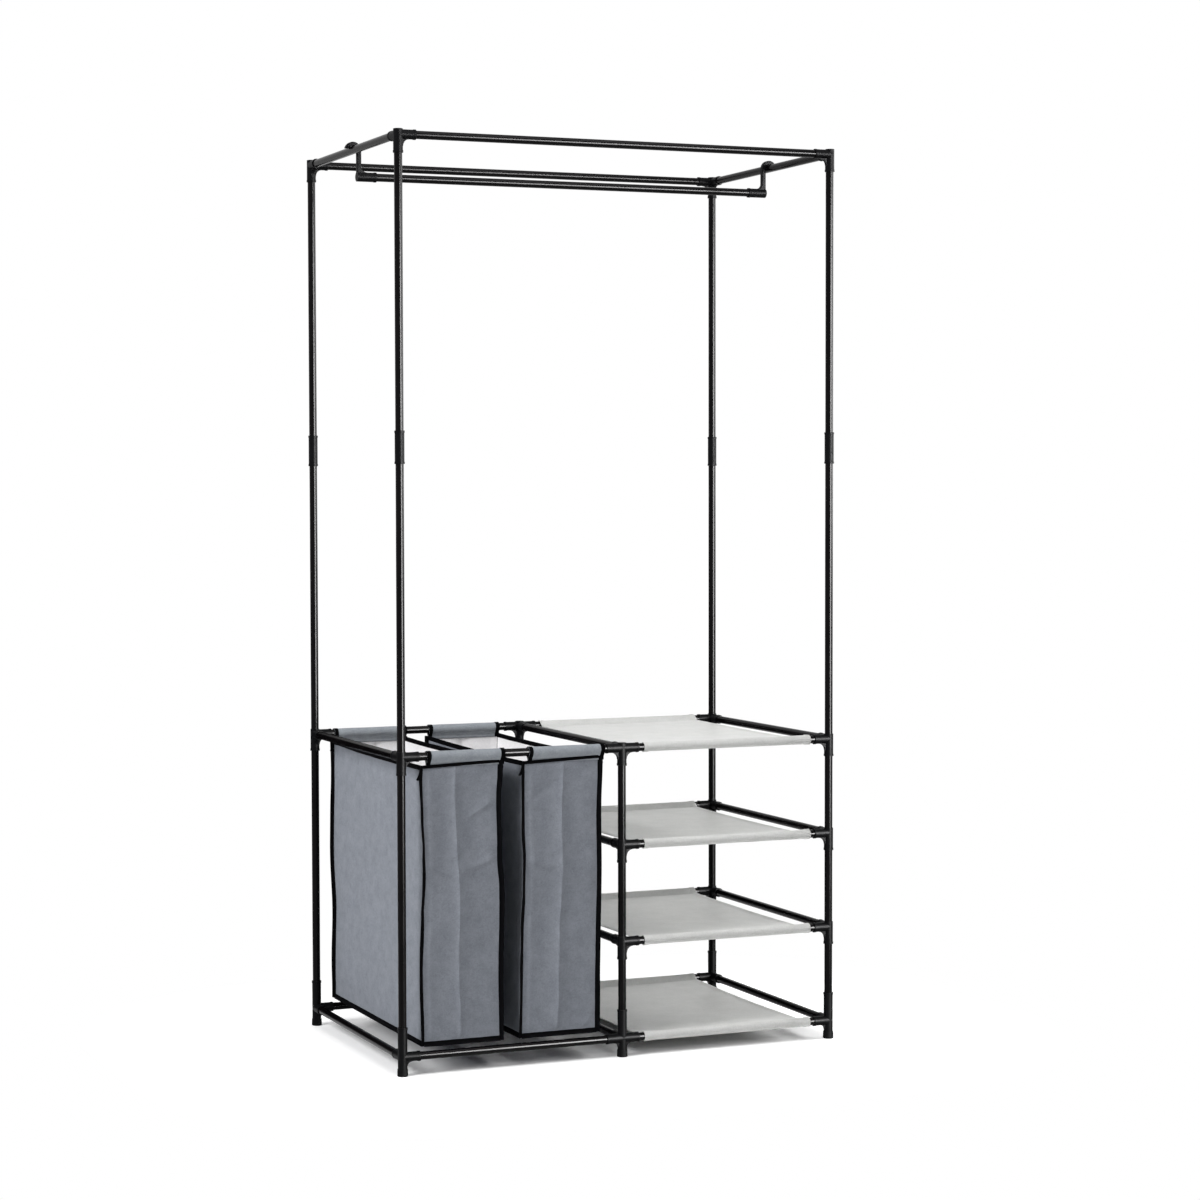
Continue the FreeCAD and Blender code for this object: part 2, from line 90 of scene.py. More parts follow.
def enamelledSteel():
    # Gloss black stoved enamel on drawn steel tube: smooth and wet-looking, so lamps show as narrow streaks
    # along the tube, with a thin film of dust that dulls it in patches
    look = {"enamel": "#050405", "dust": "#0b090a", "polished": 0.18, "dusty": 0.24, "shine": 0.06,
            "cloudMm": 120}
    material, tree, surface = startMaterial("gloss enamelled steel")
    place = addNode(tree, "TexCoord").outputs["Object"]
    cloud = addNode(tree, "TexNoise", {"Scale": 1000 / look["cloudMm"], "Detail": 2}, {"Vector": place})
    share = addNode(tree, "MapRange", {"From Min": 0.35, "From Max": 0.7},
                    {"Value": cloud.outputs["Fac"]})
    colour = addNode(tree, "Mix", {6: linear(look["enamel"]), 7: linear(look["dust"])},
                     {0: share.outputs[0]}, data_type="RGBA")
    gloss = addNode(tree, "MapRange", {"To Min": look["polished"], "To Max": look["dusty"]},
                    {"Value": share.outputs[0]})
    setValues(surface, {"IOR": 1.5, "Specular IOR Level": look["shine"]})
    setLinks(tree, surface, {"Base Color": colour.outputs[2], "Roughness": gloss.outputs[0]})
    return material


def mouldedPlastic(name, look):
    # Black polypropylene, or polyethylene for the feet, from a spark-eroded mould: satin or matt, with a
    # fine even grain and soft flow marks. The real grain of about 0.2 mm is drawn coarser, so it shows.
    material, tree, surface = startMaterial(name)
    place = addNode(tree, "TexCoord").outputs["Object"]
    flow = addNode(tree, "TexNoise",
                   {"Scale": 1000 / look["flowMm"], "Detail": 3, "Distortion": 0.6}, {"Vector": place})
    colour = addNode(tree, "Mix", {6: linear(look["dark"]), 7: linear(look["pale"])},
                     {0: flow.outputs["Fac"]}, data_type="RGBA")
    satin = addNode(tree, "MapRange", {"To Min": look["smooth"], "To Max": look["rough"]},
                    {"Value": flow.outputs["Fac"]})
    grain = addNode(tree, "TexNoise", {"Scale": 1000 / look["grainMm"], "Detail": 2}, {"Vector": place})
    bump = addNode(tree, "Bump", {"Distance": look["grainHeightMm"] * mm},
                   {"Height": grain.outputs["Fac"]})
    setValues(surface, {"IOR": 1.49, "Specular IOR Level": look["shine"]})
    setLinks(tree, surface, {"Base Color": colour.outputs[2], "Roughness": satin.outputs[0],
                             "Normal": bump.outputs[0]})
    return material


def bondedCloth(name, look):
    # Spun-bonded polypropylene: fine fibres pressed together at a grid of small dots, so it is matt and even
    # from afar with cloudy thick and thin places. The dots, 1.2 mm apart, are drawn coarser, so they show.
    material, tree, surface = startMaterial(name)
    cut = addNode(tree, "UVMap", uv_map="cloth").outputs["UV"]
    clouds = addNode(tree, "TexNoise",
                     {"Scale": 1000 / look["cloudMm"], "Detail": 6, "Roughness": 0.6}, {"Vector": cut})
    fibres = addNode(tree, "TexNoise",
                     {"Scale": 1000 / look["fibreMm"], "Detail": 2, "Distortion": 1.5}, {"Vector": cut})
    dots = addNode(tree, "TexVoronoi", {"Scale": 1000 / look["dotMm"], "Randomness": 0.15},
                   {"Vector": cut}, voronoi_dimensions="2D")
    mottle = addNode(tree, "Math", {}, {0: clouds.outputs["Fac"], 1: fibres.outputs["Fac"]},
                     operation="ADD")
    share = addNode(tree, "MapRange", {"From Min": 0.7, "From Max": 1.3}, {"Value": mottle.outputs[0]})
    colour = addNode(tree, "Mix", {6: linear(look["thin"]), 7: linear(look["thick"])},
                     {0: share.outputs[0]}, data_type="RGBA")
    relief = addNode(tree, "Math", {1: 0.6},
                     {0: dots.outputs["Distance"], 2: fibres.outputs["Fac"]}, operation="MULTIPLY_ADD")
    bump = addNode(tree, "Bump", {"Distance": look["reliefMm"] * mm}, {"Height": relief.outputs[0]})
    setValues(surface, {
        "Roughness": look["roughness"], "IOR": 1.49, "Specular IOR Level": look["shine"],
        "Sheen Weight": look["sheen"], "Sheen Roughness": 0.5, "Subsurface Weight": look["glow"],
        "Subsurface Radius": (1, 1, 1), "Subsurface Scale": look["depthMm"] * mm})
    setLinks(tree, surface, {"Base Color": colour.outputs[2], "Normal": bump.outputs[0]})
    return material


def wovenTape():
    # Black polyester binding tape: a close rib weave, dull, with a slight lift where ribs catch the light.
    # The ribs are about 0.8 mm apart and are drawn much wider, so that they show.
    look = {"dark": "#060607", "lit": "#111113", "roughness": 0.82, "shine": 0.01, "ribMm": 13.823,
            "ribHeightMm": 0.12, "wearMm": 18}
    wavesPerUnit = 20 / math.tau  # of Blender's wave pattern at a scale of 1
    material, tree, surface = startMaterial("woven polyester tape")
    cut = addNode(tree, "UVMap", uv_map="cloth").outputs["UV"]
    rib = addNode(tree, "TexWave",
                  {"Scale": 1000 / look["ribMm"] / wavesPerUnit, "Distortion": 0.4, "Detail": 1},
                  {"Vector": cut}, bands_direction="X")
    wear = addNode(tree, "TexNoise", {"Scale": 1000 / look["wearMm"], "Detail": 4}, {"Vector": cut})
    share = addNode(tree, "Math", {}, {0: rib.outputs["Fac"], 1: wear.outputs["Fac"]},
                    operation="MULTIPLY")
    colour = addNode(tree, "Mix", {6: linear(look["dark"]), 7: linear(look["lit"])},
                     {0: share.outputs[0]}, data_type="RGBA")
    bump = addNode(tree, "Bump", {"Distance": look["ribHeightMm"] * mm}, {"Height": rib.outputs["Fac"]})
    setValues(surface, {"Roughness": look["roughness"], "Specular IOR Level": look["shine"]})
    setLinks(tree, surface, {"Base Color": colour.outputs[2], "Normal": bump.outputs[0]})
    return material


def sewingThread():
    # Spun polyester thread: matt, with a twist that breaks up the light along each stitch
    look = {"thread": "#d8d9d8", "roughness": 0.75, "twistMm": 1.2}
    material, tree, surface = startMaterial("pale grey polyester thread")
    place = addNode(tree, "TexCoord").outputs["Object"]
    twist = addNode(tree, "TexNoise", {"Scale": 1000 / look["twistMm"], "Detail": 1}, {"Vector": place})
    fade = addNode(tree, "MapRange", {"To Min": 0.8, "To Max": 1.1}, {"Value": twist.outputs["Fac"]})
    colour = addNode(tree, "VectorMath", {0: linear(look["thread"])[:3]},
                     {"Scale": fade.outputs[0]}, operation="SCALE")
    setValues(surface, {"Roughness": look["roughness"]})
    setLinks(tree, surface, {"Base Color": colour.outputs[0]})
    return material


steel = enamelledSteel()
connectorPlastic = mouldedPlastic("moulded satin polypropylene", {
    "dark": "#080809", "pale": "#0f0f11", "smooth": 0.34, "rough": 0.46, "shine": 0.035, "flowMm": 22,
    "grainMm": 1.4, "grainHeightMm": 0.03})
footPlastic = mouldedPlastic("moulded matt polyethylene", {
    "dark": "#080809", "pale": "#111112", "smooth": 0.55, "rough": 0.7, "shine": 0.035, "flowMm": 14,
    "grainMm": 1.6, "grainHeightMm": 0.05})
bagClothLook = {
    "thin": "#72767e", "thick": "#858990", "cloudMm": 26, "fibreMm": 4, "dotMm": 3.2, "reliefMm": 0.12,
    "roughness": 0.9, "shine": 0.05, "sheen": 0.03, "glow": 0, "depthMm": 1}
bagCloth = bondedCloth("grey spun-bonded polypropylene", bagClothLook)
# The sleeves are the bag's own cloth. Their lighter colour is painted light, for the light from above and in
# front that falls on their tops.
sleeveClothPaintedLight = bondedCloth("grey spun-bonded polypropylene, two plies", {
    **bagClothLook, "thin": "#84898f", "thick": "#989da2", "roughness": 0.8, "shine": 0.1})
bagLining = bondedCloth("white coated inner face", {
    "thin": "#e5e4e5", "thick": "#f1f0f1", "cloudMm": 45, "fibreMm": 6, "dotMm": 3.2, "reliefMm": 0.08,
    "roughness": 0.6, "shine": 0.15, "sheen": 0, "glow": 0, "depthMm": 1})
shelfCloth = bondedCloth("pale grey spun-bonded polypropylene", {
    "thin": "#c6c7c4", "thick": "#d5d5d3", "cloudMm": 42, "fibreMm": 4, "dotMm": 3.2, "reliefMm": 0.05,
    "roughness": 0.42, "shine": 0.26, "sheen": 0, "glow": 1, "depthMm": 2})
tape = wovenTape()
paleThread = sewingThread()

rigidFinish = {"tube_steel": steel, "connector_plastic": connectorPlastic, "foot_plastic": footPlastic}
rigidNodes = bpy.data.collections.new("rigid nodes")
for row in frame["record"]["subparts"]:
    finish = rigidFinish.get(row["material_slot"])
    if finish:
        node = frame["nodes"][row["node"]]
        node.data.materials.clear()
        node.data.materials.append(finish)
        rigidNodes.objects.link(node)


# Small helpers for meshes

class Cloth:
    # Points, faces and flat-cut coordinates of one piece, gathered from several runs
    def __init__(self):
        self.points, self.faces, self.cuts = [], [], []

    def addFace(self, corners, cut):
        self.faces.append(corners)
        self.cuts.extend(cut)

    def addGrid(self, points, acrossCut, alongCut, closed=False):
        # points is a list of rows; the cut lists say how far along the flat cloth each column and row lies
        first, columns = len(self.points), len(points[0])
        for row in points:
            self.points.extend(row)
        for i in range(len(points) - 1):
            for j in range(columns if closed else columns - 1):
                near, far = j, (j + 1) % columns
                low, high = first + i * columns, first + (i + 1) * columns
                cut = [(acrossCut[j], alongCut[i]), (acrossCut[j + 1], alongCut[i]),
                       (acrossCut[j + 1], alongCut[i + 1]), (acrossCut[j], alongCut[i + 1])]
                self.addFace((low + near, low + far, high + far, high + near), cut)
        return first

    def piece(self, name, materials, body, thickness=None, sharpAngle=50):
        mesh = bpy.data.meshes.new(name)
        mesh.from_pydata(self.points, [], self.faces)
        for material in materials:
            mesh.materials.append(material)
        layer = mesh.uv_layers.new(name="cloth")
        for corner, cut in zip(layer.data, self.cuts):
            corner.uv = cut
        mesh.polygons.foreach_set("use_smooth", [True] * len(mesh.polygons))
        mesh.set_sharp_from_angle(angle=math.radians(sharpAngle))
        item = bpy.data.objects.new(name, mesh)
        scene.collection.objects.link(item)
        if thickness:
            layers = item.modifiers.new("cloth thickness", "SOLIDIFY")
            layers.thickness = thickness
            layers.offset = 0
            layers.use_even_offset = True
            layers.material_offset = len(materials) - 1
        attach(item, body)
        return item


def ease(x):
    x = min(1, max(0, x))
    return x * x * (3 - 2 * x)


def wave(x, seed):
    # A smooth random line through zero, about one swing for each step of x
    return noise.noise(Vector((x, seed * 7.31, 0.5)))


def ripple(x, y, seed):
    return noise.fractal(Vector((x, y, seed * 5.17)), 0.9, 2.1, 3)


def spread(count, pull=0.5):
    # Shares from 0 to 1, closer together at both ends
    return [i / count - pull * math.sin(2 * math.pi * i / count) / (2 * math.pi) for i in range(count + 1)]


def lengths(points):
    found = [0]
    for a, b in zip(points, points[1:]):
        found.append(found[-1] + (Vector(b) - Vector(a)).length)
    return found


def tapeRun(cloth, path, outward, reach, back, thick):
    # Tape folded over an edge that follows path: it goes reach beyond the path along outward, and back
    # behind it. outward is one direction, or one for each point. The folded edge is rounded by three points.
    directions = outward if isinstance(outward, list) else [outward] * len(path)
    half = thick / 2
    shoulderReach, shoulderHalf = reach - 0.3 * half, 0.7 * half
    outline = [(-back, -half), (reach - half, -half), (shoulderReach, -shoulderHalf), (reach, 0),
               (shoulderReach, shoulderHalf), (reach - half, half), (-back, half)]
    rows = []
    for i, (point, direction) in enumerate(zip(path, directions)):
        course = (path[min(i + 1, len(path) - 1)] - path[max(i - 1, 0)]).normalized()
        side = course.cross(direction).normalized()
        flat = side.cross(course).normalized()
        rows.append([point + flat * a + side * b for a, b in outline])
    aroundCut = lengths([Vector((a, b, 0)) for a, b in outline] + [Vector((*outline[0], 0))])
    first = cloth.addGrid(rows, aroundCut, lengths(path), closed=True)
    count = len(outline)
    last = first + (len(path) - 1) * count
    cloth.addFace(tuple(reversed(range(first, first + count))), outline)
    cloth.addFace(tuple(range(last, last + count)), outline)


def stitchRow(cloth, place, length, settings):
    # Raised threads along a line; place gives the point at a share of the line and the way up from it
    count = max(2, round(length / settings["pitch"]))
    for i in range(count):
        start, lift = place((i + settings["startShare"]) / count)
        end, _ = place((i + settings["endShare"]) / count)
        middle = (start + end) / 2
        across = (end - start).cross(lift).normalized() * settings["thread"] / 2
        crown = middle + lift * settings["thread"]
        first = len(cloth.points)
        cloth.points.extend([start, middle + across, end, middle - across, crown])
        for a, b in ((0, 1), (1, 2), (2, 3), (3, 0)):
            cloth.addFace((first + a, first + b, first + 4), [(0, 0)] * 3)
        cloth.addFace((first + 3, first + 2, first + 1, first), [(0, 0)] * 4)


# Shelf covers: one sheet over both rails, sewn back on itself as a sleeve round each, with hemmed sides

coverLook = {
    "cloth": 0.8 * mm,
    "clear": 0.8 * mm,         # rail to the middle of the cloth
    "seamReach": 8 * mm,       # sleeve to its seam
    "seamStitch": 1.5 * mm,    # seam to its stitches
    "sheetBelow": 1.5 * mm,    # rail axis down to the sheet
    "plyShare": 1.2,           # sheet to the ply below it, in thicknesses of cloth
    "allowance": 8 * mm,       # cloth behind the seam
    "hem": 9 * mm,
    "hemShare": 1.1,           # height of the hem, in thicknesses of cloth
    "hemBend": 3 * mm,         # where the sheet comes down beside its hem
    "hemStitch": 2 * mm,       # end of the hem to its stitches
    "sag": 3 * mm,
    "sideShare": 0.72,         # part of the sag that the free sides have
    "heldShare": 0.12,         # part of the depth by each rail where the sheet is held
    "bow": 2.5 * mm,           # how far the free sides draw in
    "fold": 0.9 * mm,          # slow folds of the sheet
    "foldsPerMetre": 9,        # from side to side
    "foldsDeep": 1.6,          # from front to back
    "tuck": 0.45 * mm,         # short tucks along the seams
    "tuckShare": 0.1,          # part of the depth by each rail that has tucks
    "tuckPitch": 26 * mm,
    "loose": 0.25 * mm,        # how far a sleeve's cloth leaves its rail
    "loosePitch": 34 * mm,
    "sleeveSteps": 30,
    "columns": 46,
    "rows": 52,
}
# Stitches along seams and hems; each shows between two shares of its pitch
threadLook = {"pitch": 4.2 * mm, "thread": 0.7 * mm, "startShare": 0.14, "endShare": 0.86}


def coverSection(frontAxis, backAxis, radius, level, look):
    # The cut from one tail to the other: (y, z, outward y, outward z, share across the sheet or None). Two
    # plies leave each rail above and below and meet at the seam, and the sheet runs on from there.
    seamY, seamZ = radius + look["seamReach"], -look["sheetBelow"]
    underZ = seamZ - look["plyShare"] * look["cloth"]
    opening = math.acos(radius / math.hypot(seamY, seamZ))
    over = math.atan2(seamZ, seamY) + opening
    under = math.atan2(underZ, seamY) - math.acos(radius / math.hypot(seamY, underZ)) + 2 * math.pi
    half = [(seamY + look["allowance"], underZ, 0, -1), (seamY, underZ, 0, -1)]
    steps = look["sleeveSteps"]
    for i in range(steps + 1):
        angle = under + (over - under) * i / steps
        half.append((radius * math.cos(angle), radius * math.sin(angle), math.cos(angle), math.sin(angle)))
    startY, startZ, ny, nz = half[-1]
    for share in (0.3, 0.6, 0.85):  # straight from the rail to the seam
        half.append((startY + (seamY - startY) * share, startZ + (seamZ - startZ) * share, ny, nz))
    ahead = [(frontAxis + y, level + z, ny, nz, None) for y, z, ny, nz in half]
    behind = [(backAxis - y, level + z, -ny, nz, None) for y, z, ny, nz in reversed(half)]
    first = seamY / (backAxis - frontAxis)
    across = []
    for place in spread(look["rows"], pull=0.7):
        share = first + (1 - 2 * first) * place
        across.append((frontAxis + (backAxis - frontAxis) * share, level + seamZ, 0, 1, share))
    return ahead + across + behind, seamY


def shelfCover(name, seed):
    look = coverLook
    low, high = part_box("shelf_cover_" + name)
    railLow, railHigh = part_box("shelf_rails_" + name)
    tube = (railHigh.z - railLow.z) / 2
    level = (railHigh.z + railLow.z) / 2
    frontAxis, backAxis = railLow.y + tube, railHigh.y - tube
    radius = tube + look["clear"]
    hemRise = look["hemShare"] * look["cloth"]
    section, seamY = coverSection(frontAxis, backAxis, radius, level, look)

    def sheetDrop(x, share):
        # How far the open sheet hangs below a straight line between the rails
        wide = (x - low.x) / (high.x - low.x)
        deep = 4 * share * (1 - share)
        pull = ease(share / look["heldShare"]) * ease((1 - share) / look["heldShare"])
        full = look["sideShare"] + (1 - look["sideShare"]) * math.sin(math.pi * wide)
        folds = look["fold"] * ripple(x * look["foldsPerMetre"], share * look["foldsDeep"], seed) * pull
        byRail = ease(1 - share / look["tuckShare"]) + ease(1 - (1 - share) / look["tuckShare"])
        tucks = look["tuck"] * wave(x / look["tuckPitch"], seed) * byRail
        return look["sag"] * deep * full + folds + tucks * pull

    def sheetPoint(x, row, lift):
        y, z, ny, nz, share = row
        if share is not None:
            z -= sheetDrop(x, share)
            middle = (low.x + high.x) / 2
            x += look["bow"] * 4 * share * (1 - share) * (middle - x) / (high.x - middle)
        else:
            lift += look["loose"] * wave(x / look["loosePitch"], seed + 3)
        return Vector((x, y + ny * lift, z + nz * lift))

    # Columns run from the end of one hem, under the edge, across the top and under the other edge
    columns = [(low.x + look["hem"] * share, 0) for share in (1, 0.66, 0.33, 0)]
    for share in spread(look["columns"], pull=0.85):
        x = low.x + (high.x - low.x) * share
        edge = min(x - low.x, high.x - x)
        columns.append((x, hemRise * (1 - ease((edge - look["hem"]) / look["hemBend"]))))
    columns += [(high.x - look["hem"] * share, 0) for share in (0, 0.33, 0.66, 1)]
    cover = Cloth()
    rows = [[sheetPoint(x, row, lift) for x, lift in columns] for row in section]
    acrossCut = lengths([Vector((x, 0, lift)) for x, lift in columns])
    alongCut = lengths([Vector((0, row[0], row[1])) for row in section])
    cover.addGrid(rows, acrossCut, alongCut)
    sheet = cover.piece("shelf_cover_" + name + "_cloth", [shelfCloth], "frame",
                        look["cloth"])
    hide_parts("shelf_cover_" + name)

    # Thread along both sleeve seams and both hems
    seams = Cloth()
    rise = look["cloth"] / 2
    edgeShare = seamY / (backAxis - frontAxis)
    for axis, toMiddle in ((frontAxis, 1), (backAxis, -1)):
        y = axis + toMiddle * (seamY + look["seamStitch"])
        share = (y - frontAxis) / (backAxis - frontAxis)

        def alongSeam(t):
            x = low.x + look["hem"] + (high.x - low.x - 2 * look["hem"]) * t
            return sheetPoint(x, (y, level - look["sheetBelow"], 0, 1, share), rise), up

        stitchRow(seams, alongSeam, high.x - low.x, threadLook)
    for edge, toMiddle in ((low.x, 1), (high.x, -1)):
        x = edge + toMiddle * (look["hem"] - look["hemStitch"])

        def alongHem(t):
            share = edgeShare + (1 - 2 * edgeShare) * t
            y = frontAxis + (backAxis - frontAxis) * share
            return sheetPoint(x, (y, level - look["sheetBelow"], 0, 1, share), hemRise + rise), up

        stitchRow(seams, alongHem, backAxis - frontAxis, threadLook)
    thread = seams.piece("shelf_cover_" + name + "_stitching", [paleThread], "frame")


for seed, name in enumerate(("base", "lower", "upper", "top")):
    shelfCover(name, seed + 1)


# Laundry bags: a soft open shell hung from two sleeves, with bound seams that stand out as narrow fins

bagLook = {
    "cloth": 1.0 * mm,
    "frontDrop": 5 * mm,        # front seam, lower at the left, where the sleeve gives it no hold
    "dropShares": (1, -0.15, 0.1, 0.25),  # of that drop, at the four upright seams
    "sideSag": 2.5 * mm,        # top of a side between front and back
    "floorSag": 5 * mm,
    "floorPower": 0.7,          # below 1 the floor hangs flatter in its middle
    "floorRough": 0.5,          # part of that sag that swells to and fro
    "floorPitch": 120 * mm,     # from swell to swell of the floor
    "wobble": 1.2 * mm,         # upright seams out of line
    "wobbleFloor": 0.1,         # shares of the height from floor and top to the full wobble
    "wobbleTop": 0.15,
    "wobbleWaves": (6, 5),      # over the height, sideways and front to back
    "fullness": 4.5 * mm,       # slow swells of the panels
    "swellPitch": 170 * mm,
    "swellSide": 45 * mm,       # from an upright seam, the floor or the top to the full swell
    "swellFloor": 50 * mm,
    "swellTop": 60 * mm,
    "sideTopShare": 0.35,       # swell of a side at its top, where no sleeve holds it flat
    "pucker": 0.8 * mm,         # small swells along the sewn edges
    "puckerPitch": 17 * mm,
    "puckerReach": 16 * mm,
    "puckerClear": 4 * mm,
    "creaseClear": 20 * mm,     # from an upright seam to a full crease
    "creaseEnd": 14 * mm,       # from the floor or the top to a full crease
    "wanderShare": 0.012,       # of the width, to and fro along a crease
    "sideFold": 0.9 * mm,       # packing fold down the middle of a side
    "sideFoldReach": 14 * mm,
    "crossFold": 0.8 * mm,      # packing fold across, part way up
    "crossFoldReach": 12 * mm,
    "crossShare": 0.575,
    "crossWanderShare": 0.02,
    "foldClear": 30 * mm,       # from an upright seam to a full packing fold
    "foldEnd": 40 * mm,         # from the floor or the top to a full packing fold
    "frontColumns": 110,
    "sideColumns": 48,
    "rows": 136,
}
sleeveLook = {
    "length": 152 * mm,
    "clear": 1.1 * mm,          # rail to the middle of the sleeve's cloth
    "hang": 13 * mm,            # rail axis to the seam under the sleeve
    "tail": 7 * mm,             # cloth below that seam
    "tailShare": 1.15,          # seam to the middle of a tail, in thicknesses of cloth
    "loose": 0.35 * mm,         # how far the cloth leaves the rail
    "loosePitch": 30 * mm,
    "sink": 0.4 * mm,           # how far it hangs below the rail
    "sinkPitch": 45 * mm,
    "endTape": 8 * mm,          # tape round both ends
    "endThick": 2.42 * mm,
    "endInset": 0.2 * mm,
    "columns": 34,
    "steps": 30,
}
bindingLook = {
    "fin": 6.2 * mm,            # seam allowance with its tape
    "finThick": 2.4 * mm,
    "finRoot": 1.2 * mm,        # tape behind the seam
    "finShares": (1.1, 1.4, 1.3, 1.4),  # of that allowance, at the four upright seams
    "finLean": 38,              # degrees from sideways towards the front or the back
    "finTurn": 0.35,            # how far it turns to and fro, in radians
    "finTurnPitch": 70 * mm,
    "finAbove": 1 * mm,         # upright tape above the rim
    "finSteps": 70,
    "floorFin": 8.4 * mm,       # seam allowance round the floor
    "edgeTape": 8 * mm,         # tape folded over the top of a side
    "edgeRise": 1 * mm,
    "edgeThick": 2.5 * mm,
    "frontTape": 6 * mm,        # tape on the seam under a sleeve
    "frontAhead": 2.1 * mm,
    "frontRise": 1.5 * mm,
    "frontThick": 2.0 * mm,
    "panelSteps": 48,
    # Loose ends at the four upright seams: how far each hangs and swings
    "looseEnds": ((21 * mm, 7 * mm), (10 * mm, 3 * mm), (9 * mm, 3 * mm), (17 * mm, 5 * mm)),
    "endOut": 3 * mm,           # from the seam sideways, forwards and down to the start of a loose end
    "endAhead": 1.5 * mm,
    "endDown": 4 * mm,
    "endCurl": 2 * mm,
    "endHalf": 3 * mm,          # half the width of the loose tape
    "endThick": 1.2 * mm,
}
# How each bag hangs: how far its floor swings to the right, its upright seams from the front left one round
# to the back left one, as heights and how many millimetres right they bend, and the pressed creases of its
# front and back panels. A crease has its first and last share and height and then, in millimetres, how far
# it stands out and the reach of its left or lower flank and of its right or upper flank.
bagHang = {
    "laundry_bag_left": {
        "swing": 0.5 * mm,
        "seams": [
            [(0, 0), (0.27, -2), (0.45, 1), (0.6, 5), (0.68, 3.5), (0.8, 0), (0.93, -1.5), (1, 0)],
            [(0, 0), (0.2, -1), (0.55, 1.5), (0.64, -2.5), (0.87, -4), (0.96, -1), (1, 0)],
            [(0, 0), (0.3, 2), (0.58, -2), (0.8, 1), (1, 0)],
            [(0, 0), (0.35, 2), (0.6, -2), (0.85, 1), (1, 0)],
        ],
        "creases": [
            ((0.09, 0.0), (0.09, 1.0), 2.2, 7, 18),
            ((0.475, 0.0), (0.42, 1.0), 6.5, 6.5, 9),
            ((0.40, 0.0), (0.36, 1.0), 1.8, 30, 30),
            ((-0.1, 0.65), (0.44, 0.565), -4.0, 12, 3.5),
            ((0.46, 0.60), (1.1, 0.665), 4.4, 6, 13),
            ((0.62, 0.80), (1.1, 0.88), 3.2, 4, 12),
            ((-0.1, 0.25), (0.45, 0.21), -1.4, 18, 10),
            ((0.5, 0.30), (1.1, 0.36), -1.4, 10, 18),
            ((0.5, 0.12), (1.1, 0.05), 1.6, 9, 14),
        ],
    },
    "laundry_bag_right": {
        "swing": -7 * mm,
        "seams": [
            [(0, 0), (0.2, 0.5), (0.38, 1.8), (0.5, 4.5), (0.63, 5.5), (0.75, 1), (1, 0)],
            [(0, 0), (0.3, -1), (0.55, 1), (0.8, -1), (1, 0)],
            [(0, 0), (0.3, -2), (0.6, 2), (0.85, -1), (1, 0)],
            [(0, 0), (0.4, -1), (0.6, 2), (0.8, -1), (1, 0)],
        ],
        "creases": [
            ((0.09, 0.0), (0.09, 1.0), 2.2, 7, 18),
            ((0.455, 0.0), (0.52, 1.0), 6.5, 6.5, 9),
            ((0.40, 0.0), (0.44, 1.0), 1.8, 30, 30),
            ((-0.1, 0.645), (0.50, 0.60), 4.4, 6, 12),
            ((0.50, 0.59), (1.1, 0.515), 4.4, 6, 13),
            ((-0.1, 0.50), (0.42, 0.46), -1.8, 12, 18),
            ((0.62, -0.05), (1.1, 0.10), 2.6, 9, 6),
            ((0.1, 0.86), (0.5, 0.93), -1.6, 12, 14),
        ],
    },
}


